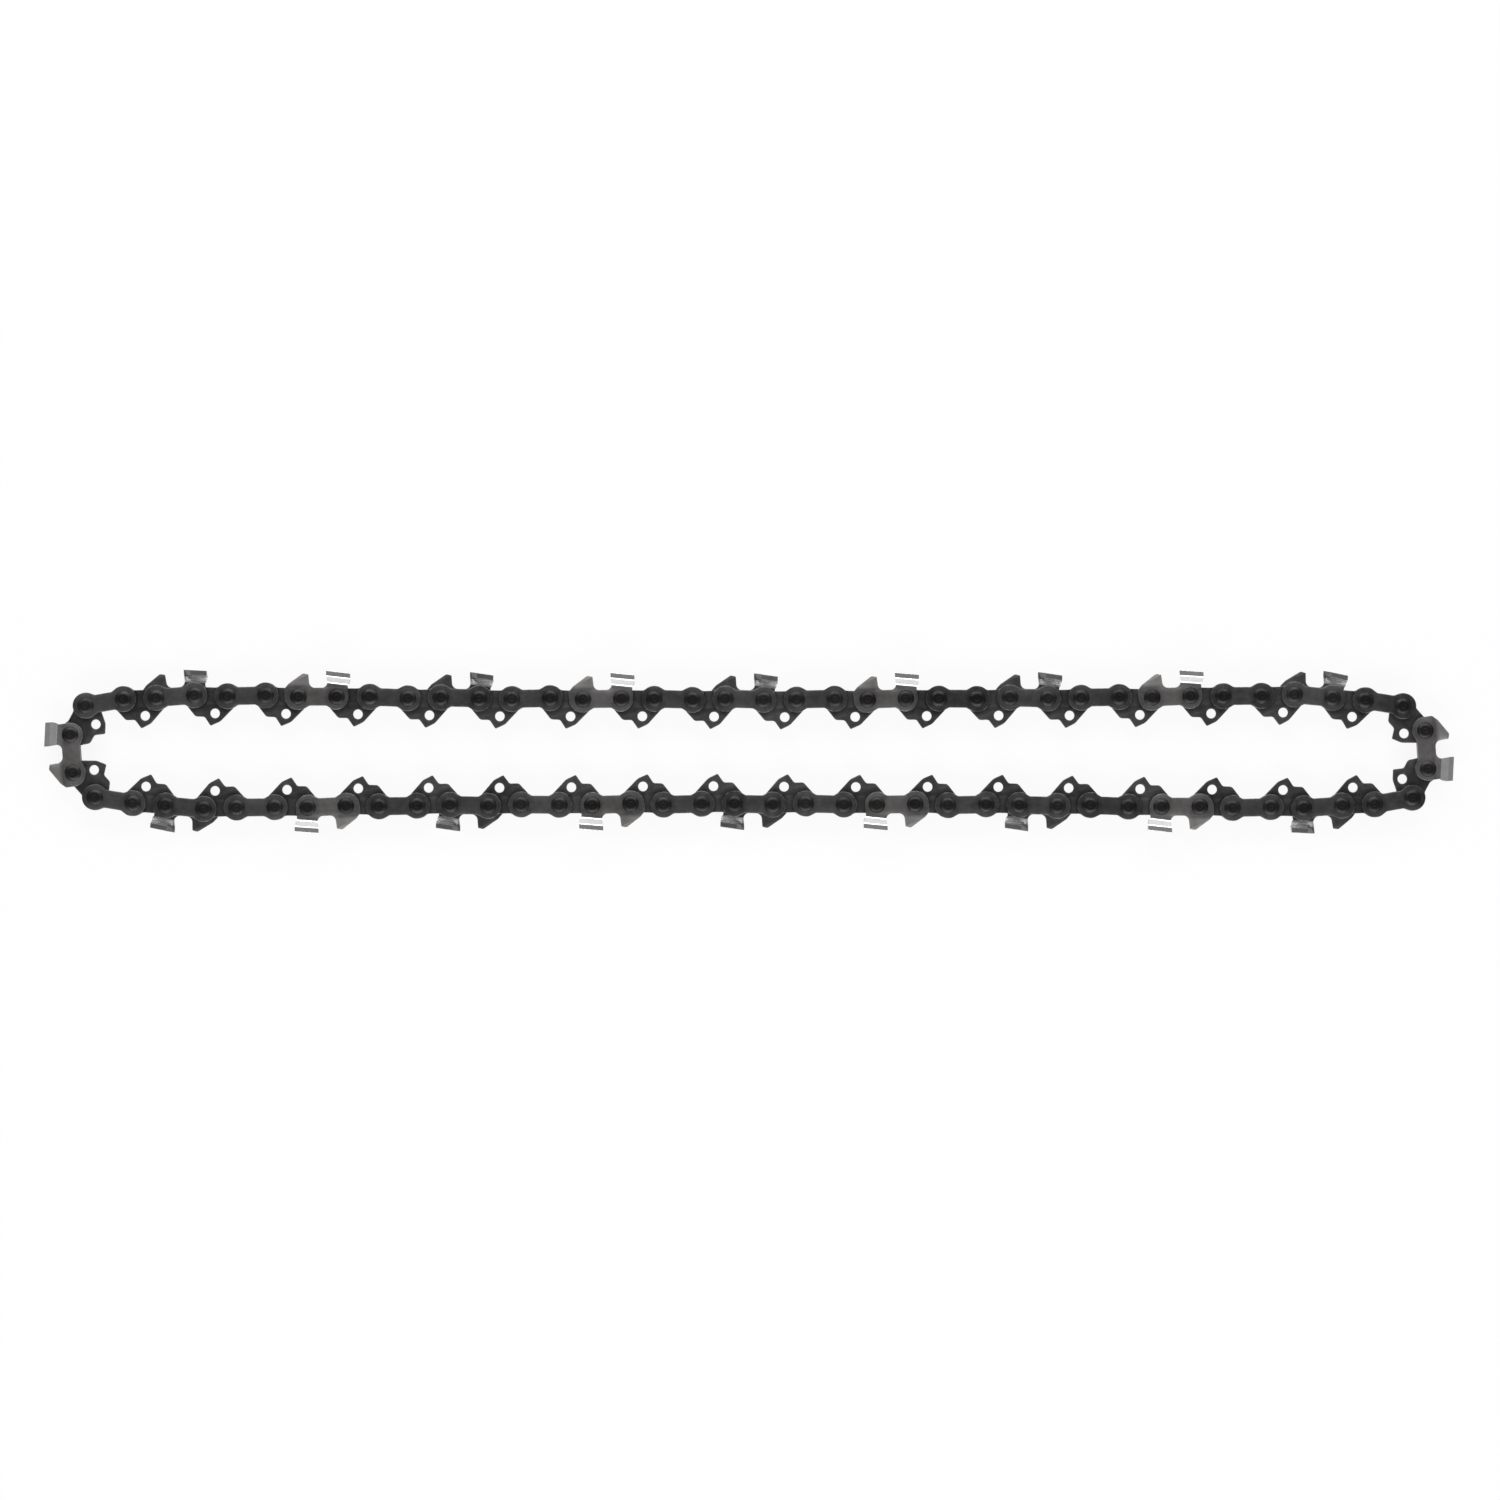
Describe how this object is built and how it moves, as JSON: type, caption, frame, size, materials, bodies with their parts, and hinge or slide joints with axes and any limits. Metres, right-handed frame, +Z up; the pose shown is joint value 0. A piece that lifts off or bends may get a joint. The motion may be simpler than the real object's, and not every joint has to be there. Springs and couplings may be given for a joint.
{
  "type": "chainsaw chain loop",
  "caption": "Low-profile saw chain riveted into a loop and lying on its side: drive links with oil holes, tie straps, and left and right cutters with depth gauges.",
  "frame": {"origin": "middle of the loop, on the surface that it lies on", "axes": "+X along the two long runs, +Y across the loop, +Z up from the surface along the rivets"},
  "size_m": [0.369, 0.043, 0.0068],
  "materials": {
    "cutter_steel": "blackened satin, brighter on the teeth",
    "link_steel": "blackened satin"
  },
  "bodies": {
    "left_cutter_01": {"left_cutter_01": "cutter_steel"},
    "tie_link_01": {"tie_link_01": "link_steel"},
    "drive_link_01": {"drive_link_01": "link_steel"},
    "right_cutter_01": {"right_cutter_01": "cutter_steel"},
    "tie_link_02": {"tie_link_02": "link_steel"},
    "drive_link_02": {"drive_link_02": "link_steel"},
    "left_cutter_02": {"left_cutter_02": "cutter_steel"},
    "tie_link_03": {"tie_link_03": "link_steel"},
    "drive_link_03": {"drive_link_03": "link_steel"},
    "right_cutter_02": {"right_cutter_02": "cutter_steel"},
    "tie_link_04": {"tie_link_04": "link_steel"},
    "drive_link_04": {"drive_link_04": "link_steel"},
    "left_cutter_03": {"left_cutter_03": "cutter_steel"},
    "tie_link_05": {"tie_link_05": "link_steel"},
    "drive_link_05": {"drive_link_05": "link_steel"},
    "right_cutter_03": {"right_cutter_03": "cutter_steel"},
    "tie_link_06": {"tie_link_06": "link_steel"},
    "drive_link_06": {"drive_link_06": "link_steel"},
    "left_cutter_04": {"left_cutter_04": "cutter_steel"},
    "tie_link_07": {"tie_link_07": "link_steel"},
    "drive_link_07": {"drive_link_07": "link_steel"},
    "right_cutter_04": {"right_cutter_04": "cutter_steel"},
    "tie_link_08": {"tie_link_08": "link_steel"},
    "drive_link_08": {"drive_link_08": "link_steel"},
    "left_cutter_05": {"left_cutter_05": "cutter_steel"},
    "tie_link_09": {"tie_link_09": "link_steel"},
    "drive_link_09": {"drive_link_09": "link_steel"},
    "right_cutter_05": {"right_cutter_05": "cutter_steel"},
    "tie_link_10": {"tie_link_10": "link_steel"},
    "drive_link_10": {"drive_link_10": "link_steel"},
    "left_cutter_06": {"left_cutter_06": "cutter_steel"},
    "tie_link_11": {"tie_link_11": "link_steel"},
    "drive_link_11": {"drive_link_11": "link_steel"},
    "right_cutter_06": {"right_cutter_06": "cutter_steel"},
    "tie_link_12": {"tie_link_12": "link_steel"},
    "drive_link_12": {"drive_link_12": "link_steel"},
    "left_cutter_07": {"left_cutter_07": "cutter_steel"},
    "tie_link_13": {"tie_link_13": "link_steel"},
    "drive_link_13": {"drive_link_13": "link_steel"},
    "right_cutter_07": {"right_cutter_07": "cutter_steel"},
    "tie_link_14": {"tie_link_14": "link_steel"},
    "drive_link_14": {"drive_link_14": "link_steel"},
    "left_cutter_08": {"left_cutter_08": "cutter_steel"},
    "tie_link_15": {"tie_link_15": "link_steel"},
    "drive_link_15": {"drive_link_15": "link_steel"},
    "right_cutter_08": {"right_cutter_08": "cutter_steel"},
    "tie_link_16": {"tie_link_16": "link_steel"},
    "drive_link_16": {"drive_link_16": "link_steel"},
    "left_cutter_09": {"left_cutter_09": "cutter_steel"},
    "tie_link_17": {"tie_link_17": "link_steel"},
    "drive_link_17": {"drive_link_17": "link_steel"},
    "right_cutter_09": {"right_cutter_09": "cutter_steel"},
    "tie_link_18": {"tie_link_18": "link_steel"},
    "drive_link_18": {"drive_link_18": "link_steel"},
    "left_cutter_10": {"left_cutter_10": "cutter_steel"},
    "tie_link_19": {"tie_link_19": "link_steel"},
    "drive_link_19": {"drive_link_19": "link_steel"},
    "right_cutter_10": {"right_cutter_10": "cutter_steel"},
    "tie_link_20": {"tie_link_20": "link_steel"},
    "drive_link_20": {"drive_link_20": "link_steel"}
  },
  "joints": [
    {"name": "rivet_01", "type": "hinge", "parent": "left_cutter_01", "child": "tie_link_01", "pos_m": [-0.17376, 0.01206, 0.0034], "axis": [0, 0, 1], "range_deg": [-10, 10]},
    {"name": "rivet_02", "type": "hinge", "parent": "tie_link_01", "child": "drive_link_01", "pos_m": [-0.16387, 0.01381, 0.0034], "axis": [0, 0, 1], "range_deg": [-10, 10]},
    {"name": "rivet_03", "type": "hinge", "parent": "drive_link_01", "child": "right_cutter_01", "pos_m": [-0.15527, 0.01411, 0.0034], "axis": [0, 0, 1], "range_deg": [-10, 10]},
    {"name": "rivet_04", "type": "hinge", "parent": "right_cutter_01", "child": "tie_link_02", "pos_m": [-0.13666, 0.01453, 0.0034], "axis": [0, 0, 1], "range_deg": [-10, 10]},
    {"name": "rivet_05", "type": "hinge", "parent": "tie_link_02", "child": "drive_link_02", "pos_m": [-0.12663, 0.01475, 0.0034], "axis": [0, 0, 1], "range_deg": [-10, 10]},
    {"name": "rivet_06", "type": "hinge", "parent": "drive_link_02", "child": "left_cutter_02", "pos_m": [-0.11803, 0.01438, 0.0034], "axis": [0, 0, 1], "range_deg": [-10, 10]},
    {"name": "rivet_07", "type": "hinge", "parent": "left_cutter_02", "child": "tie_link_03", "pos_m": [-0.09939, 0.01441, 0.0034], "axis": [0, 0, 1], "range_deg": [-10, 10]},
    {"name": "rivet_08", "type": "hinge", "parent": "tie_link_03", "child": "drive_link_03", "pos_m": [-0.08936, 0.01399, 0.0034], "axis": [0, 0, 1], "range_deg": [-10, 10]},
    {"name": "rivet_09", "type": "hinge", "parent": "drive_link_03", "child": "right_cutter_02", "pos_m": [-0.08076, 0.0142, 0.0034], "axis": [0, 0, 1], "range_deg": [-10, 10]},
    {"name": "rivet_10", "type": "hinge", "parent": "right_cutter_02", "child": "tie_link_04", "pos_m": [-0.06213, 0.01382, 0.0034], "axis": [0, 0, 1], "range_deg": [-10, 10]},
    {"name": "rivet_11", "type": "hinge", "parent": "tie_link_04", "child": "drive_link_04", "pos_m": [-0.05209, 0.01404, 0.0034], "axis": [0, 0, 1], "range_deg": [-10, 10]},
    {"name": "rivet_12", "type": "hinge", "parent": "drive_link_04", "child": "left_cutter_03", "pos_m": [-0.0435, 0.0137, 0.0034], "axis": [0, 0, 1], "range_deg": [-10, 10]},
    {"name": "rivet_13", "type": "hinge", "parent": "left_cutter_03", "child": "tie_link_05", "pos_m": [-0.02486, 0.01386, 0.0034], "axis": [0, 0, 1], "range_deg": [-10, 10]},
    {"name": "rivet_14", "type": "hinge", "parent": "tie_link_05", "child": "drive_link_05", "pos_m": [-0.01482, 0.01359, 0.0034], "axis": [0, 0, 1], "range_deg": [-10, 10]},
    {"name": "rivet_15", "type": "hinge", "parent": "drive_link_05", "child": "right_cutter_03", "pos_m": [-0.00623, 0.01388, 0.0034], "axis": [0, 0, 1], "range_deg": [-10, 10]},
    {"name": "rivet_16", "type": "hinge", "parent": "right_cutter_03", "child": "tie_link_06", "pos_m": [0.01241, 0.01366, 0.0034], "axis": [0, 0, 1], "range_deg": [-10, 10]},
    {"name": "rivet_17", "type": "hinge", "parent": "tie_link_06", "child": "drive_link_06", "pos_m": [0.02245, 0.01389, 0.0034], "axis": [0, 0, 1], "range_deg": [-10, 10]},
    {"name": "rivet_18", "type": "hinge", "parent": "drive_link_06", "child": "left_cutter_04", "pos_m": [0.03104, 0.01362, 0.0034], "axis": [0, 0, 1], "range_deg": [-10, 10]},
    {"name": "rivet_19", "type": "hinge", "parent": "left_cutter_04", "child": "tie_link_07", "pos_m": [0.04968, 0.01392, 0.0034], "axis": [0, 0, 1], "range_deg": [-10, 10]},
    {"name": "rivet_20", "type": "hinge", "parent": "tie_link_07", "child": "drive_link_07", "pos_m": [0.05972, 0.01384, 0.0034], "axis": [0, 0, 1], "range_deg": [-10, 10]},
    {"name": "rivet_21", "type": "hinge", "parent": "drive_link_07", "child": "right_cutter_04", "pos_m": [0.06831, 0.01418, 0.0034], "axis": [0, 0, 1], "range_deg": [-10, 10]},
    {"name": "rivet_22", "type": "hinge", "parent": "right_cutter_04", "child": "tie_link_08", "pos_m": [0.08694, 0.01415, 0.0034], "axis": [0, 0, 1], "range_deg": [-10, 10]},
    {"name": "rivet_23", "type": "hinge", "parent": "tie_link_08", "child": "drive_link_08", "pos_m": [0.09698, 0.01434, 0.0034], "axis": [0, 0, 1], "range_deg": [-10, 10]},
    {"name": "rivet_24", "type": "hinge", "parent": "drive_link_08", "child": "left_cutter_05", "pos_m": [0.10558, 0.01418, 0.0034], "axis": [0, 0, 1], "range_deg": [-10, 10]},
    {"name": "rivet_25", "type": "hinge", "parent": "left_cutter_05", "child": "tie_link_09", "pos_m": [0.12421, 0.01456, 0.0034], "axis": [0, 0, 1], "range_deg": [-10, 10]},
    {"name": "rivet_26", "type": "hinge", "parent": "tie_link_09", "child": "drive_link_09", "pos_m": [0.13425, 0.01465, 0.0034], "axis": [0, 0, 1], "range_deg": [-10, 10]},
    {"name": "rivet_27", "type": "hinge", "parent": "drive_link_09", "child": "right_cutter_05", "pos_m": [0.14284, 0.01498, 0.0034], "axis": [0, 0, 1], "range_deg": [-10, 10]},
    {"name": "rivet_28", "type": "hinge", "parent": "right_cutter_05", "child": "tie_link_10", "pos_m": [0.16142, 0.01351, 0.0034], "axis": [0, 0, 1], "range_deg": [-10, 10]},
    {"name": "rivet_29", "type": "hinge", "parent": "tie_link_10", "child": "drive_link_10", "pos_m": [0.17134, 0.01194, 0.0034], "axis": [0, 0, 1], "range_deg": [-10, 10]},
    {"name": "rivet_60", "type": "hinge", "parent": "left_cutter_01", "child": "drive_link_20", "pos_m": [-0.17709, -0.00555, 0.0034], "axis": [0, 0, 1], "range_deg": [-10, 10]},
    {"name": "rivet_59", "type": "hinge", "parent": "drive_link_20", "child": "tie_link_20", "pos_m": [-0.17134, -0.01194, 0.0034], "axis": [0, 0, 1], "range_deg": [-10, 10]},
    {"name": "rivet_58", "type": "hinge", "parent": "tie_link_20", "child": "right_cutter_10", "pos_m": [-0.16142, -0.01351, 0.0034], "axis": [0, 0, 1], "range_deg": [-10, 10]},
    {"name": "rivet_57", "type": "hinge", "parent": "right_cutter_10", "child": "drive_link_19", "pos_m": [-0.14284, -0.01498, 0.0034], "axis": [0, 0, 1], "range_deg": [-10, 10]},
    {"name": "rivet_56", "type": "hinge", "parent": "drive_link_19", "child": "tie_link_19", "pos_m": [-0.13425, -0.01465, 0.0034], "axis": [0, 0, 1], "range_deg": [-10, 10]},
    {"name": "rivet_55", "type": "hinge", "parent": "tie_link_19", "child": "left_cutter_10", "pos_m": [-0.12421, -0.01456, 0.0034], "axis": [0, 0, 1], "range_deg": [-10, 10]},
    {"name": "rivet_54", "type": "hinge", "parent": "left_cutter_10", "child": "drive_link_18", "pos_m": [-0.10558, -0.01418, 0.0034], "axis": [0, 0, 1], "range_deg": [-10, 10]},
    {"name": "rivet_53", "type": "hinge", "parent": "drive_link_18", "child": "tie_link_18", "pos_m": [-0.09698, -0.01434, 0.0034], "axis": [0, 0, 1], "range_deg": [-10, 10]},
    {"name": "rivet_52", "type": "hinge", "parent": "tie_link_18", "child": "right_cutter_09", "pos_m": [-0.08694, -0.01415, 0.0034], "axis": [0, 0, 1], "range_deg": [-10, 10]},
    {"name": "rivet_51", "type": "hinge", "parent": "right_cutter_09", "child": "drive_link_17", "pos_m": [-0.06831, -0.01418, 0.0034], "axis": [0, 0, 1], "range_deg": [-10, 10]},
    {"name": "rivet_50", "type": "hinge", "parent": "drive_link_17", "child": "tie_link_17", "pos_m": [-0.05972, -0.01384, 0.0034], "axis": [0, 0, 1], "range_deg": [-10, 10]},
    {"name": "rivet_49", "type": "hinge", "parent": "tie_link_17", "child": "left_cutter_09", "pos_m": [-0.04968, -0.01392, 0.0034], "axis": [0, 0, 1], "range_deg": [-10, 10]},
    {"name": "rivet_48", "type": "hinge", "parent": "left_cutter_09", "child": "drive_link_16", "pos_m": [-0.03104, -0.01362, 0.0034], "axis": [0, 0, 1], "range_deg": [-10, 10]},
    {"name": "rivet_47", "type": "hinge", "parent": "drive_link_16", "child": "tie_link_16", "pos_m": [-0.02245, -0.01389, 0.0034], "axis": [0, 0, 1], "range_deg": [-10, 10]},
    {"name": "rivet_46", "type": "hinge", "parent": "tie_link_16", "child": "right_cutter_08", "pos_m": [-0.01241, -0.01366, 0.0034], "axis": [0, 0, 1], "range_deg": [-10, 10]},
    {"name": "rivet_45", "type": "hinge", "parent": "right_cutter_08", "child": "drive_link_15", "pos_m": [0.00623, -0.01388, 0.0034], "axis": [0, 0, 1], "range_deg": [-10, 10]},
    {"name": "rivet_44", "type": "hinge", "parent": "drive_link_15", "child": "tie_link_15", "pos_m": [0.01482, -0.01359, 0.0034], "axis": [0, 0, 1], "range_deg": [-10, 10]},
    {"name": "rivet_43", "type": "hinge", "parent": "tie_link_15", "child": "left_cutter_08", "pos_m": [0.02486, -0.01386, 0.0034], "axis": [0, 0, 1], "range_deg": [-10, 10]},
    {"name": "rivet_42", "type": "hinge", "parent": "left_cutter_08", "child": "drive_link_14", "pos_m": [0.0435, -0.0137, 0.0034], "axis": [0, 0, 1], "range_deg": [-10, 10]},
    {"name": "rivet_41", "type": "hinge", "parent": "drive_link_14", "child": "tie_link_14", "pos_m": [0.05209, -0.01404, 0.0034], "axis": [0, 0, 1], "range_deg": [-10, 10]},
    {"name": "rivet_40", "type": "hinge", "parent": "tie_link_14", "child": "right_cutter_07", "pos_m": [0.06213, -0.01382, 0.0034], "axis": [0, 0, 1], "range_deg": [-10, 10]},
    {"name": "rivet_39", "type": "hinge", "parent": "right_cutter_07", "child": "drive_link_13", "pos_m": [0.08076, -0.0142, 0.0034], "axis": [0, 0, 1], "range_deg": [-10, 10]},
    {"name": "rivet_38", "type": "hinge", "parent": "drive_link_13", "child": "tie_link_13", "pos_m": [0.08936, -0.01399, 0.0034], "axis": [0, 0, 1], "range_deg": [-10, 10]},
    {"name": "rivet_37", "type": "hinge", "parent": "tie_link_13", "child": "left_cutter_07", "pos_m": [0.09939, -0.01441, 0.0034], "axis": [0, 0, 1], "range_deg": [-10, 10]},
    {"name": "rivet_36", "type": "hinge", "parent": "left_cutter_07", "child": "drive_link_12", "pos_m": [0.11803, -0.01438, 0.0034], "axis": [0, 0, 1], "range_deg": [-10, 10]},
    {"name": "rivet_35", "type": "hinge", "parent": "drive_link_12", "child": "tie_link_12", "pos_m": [0.12663, -0.01475, 0.0034], "axis": [0, 0, 1], "range_deg": [-10, 10]},
    {"name": "rivet_34", "type": "hinge", "parent": "tie_link_12", "child": "right_cutter_06", "pos_m": [0.13666, -0.01453, 0.0034], "axis": [0, 0, 1], "range_deg": [-10, 10]},
    {"name": "rivet_33", "type": "hinge", "parent": "right_cutter_06", "child": "drive_link_11", "pos_m": [0.15527, -0.01411, 0.0034], "axis": [0, 0, 1], "range_deg": [-10, 10]},
    {"name": "rivet_32", "type": "hinge", "parent": "drive_link_11", "child": "tie_link_11", "pos_m": [0.16387, -0.01381, 0.0034], "axis": [0, 0, 1], "range_deg": [-10, 10]},
    {"name": "rivet_31", "type": "hinge", "parent": "tie_link_11", "child": "left_cutter_06", "pos_m": [0.17376, -0.01206, 0.0034], "axis": [0, 0, 1], "range_deg": [-10, 10]}
  ],
  "couplings": [
    {"joint": "rivet_02", "follows": "rivet_01", "ratio": -1},
    {"joint": "rivet_31", "follows": "rivet_01", "ratio": -1},
    {"joint": "rivet_32", "follows": "rivet_01", "ratio": 1},
    {"joint": "rivet_04", "follows": "rivet_03", "ratio": -1},
    {"joint": "rivet_33", "follows": "rivet_03", "ratio": -1},
    {"joint": "rivet_34", "follows": "rivet_03", "ratio": 1},
    {"joint": "rivet_06", "follows": "rivet_05", "ratio": -1},
    {"joint": "rivet_35", "follows": "rivet_05", "ratio": -1},
    {"joint": "rivet_36", "follows": "rivet_05", "ratio": 1},
    {"joint": "rivet_08", "follows": "rivet_07", "ratio": -1},
    {"joint": "rivet_37", "follows": "rivet_07", "ratio": -1},
    {"joint": "rivet_38", "follows": "rivet_07", "ratio": 1},
    {"joint": "rivet_10", "follows": "rivet_09", "ratio": -1},
    {"joint": "rivet_39", "follows": "rivet_09", "ratio": -1},
    {"joint": "rivet_40", "follows": "rivet_09", "ratio": 1},
    {"joint": "rivet_12", "follows": "rivet_11", "ratio": -1},
    {"joint": "rivet_41", "follows": "rivet_11", "ratio": -1},
    {"joint": "rivet_42", "follows": "rivet_11", "ratio": 1},
    {"joint": "rivet_14", "follows": "rivet_13", "ratio": -1},
    {"joint": "rivet_43", "follows": "rivet_13", "ratio": -1},
    {"joint": "rivet_44", "follows": "rivet_13", "ratio": 1},
    {"joint": "rivet_16", "follows": "rivet_15", "ratio": -1},
    {"joint": "rivet_45", "follows": "rivet_15", "ratio": -1},
    {"joint": "rivet_46", "follows": "rivet_15", "ratio": 1},
    {"joint": "rivet_18", "follows": "rivet_17", "ratio": -1},
    {"joint": "rivet_47", "follows": "rivet_17", "ratio": -1},
    {"joint": "rivet_48", "follows": "rivet_17", "ratio": 1},
    {"joint": "rivet_20", "follows": "rivet_19", "ratio": -1},
    {"joint": "rivet_49", "follows": "rivet_19", "ratio": -1},
    {"joint": "rivet_50", "follows": "rivet_19", "ratio": 1},
    {"joint": "rivet_22", "follows": "rivet_21", "ratio": -1},
    {"joint": "rivet_51", "follows": "rivet_21", "ratio": -1},
    {"joint": "rivet_52", "follows": "rivet_21", "ratio": 1},
    {"joint": "rivet_24", "follows": "rivet_23", "ratio": -1},
    {"joint": "rivet_53", "follows": "rivet_23", "ratio": -1},
    {"joint": "rivet_54", "follows": "rivet_23", "ratio": 1},
    {"joint": "rivet_26", "follows": "rivet_25", "ratio": -1},
    {"joint": "rivet_55", "follows": "rivet_25", "ratio": -1},
    {"joint": "rivet_56", "follows": "rivet_25", "ratio": 1},
    {"joint": "rivet_28", "follows": "rivet_27", "ratio": -1},
    {"joint": "rivet_57", "follows": "rivet_27", "ratio": -1},
    {"joint": "rivet_58", "follows": "rivet_27", "ratio": 1},
    {"joint": "rivet_59", "follows": "rivet_29", "ratio": -1},
    {"joint": "rivet_60", "follows": "rivet_29", "ratio": 1}
  ]
}
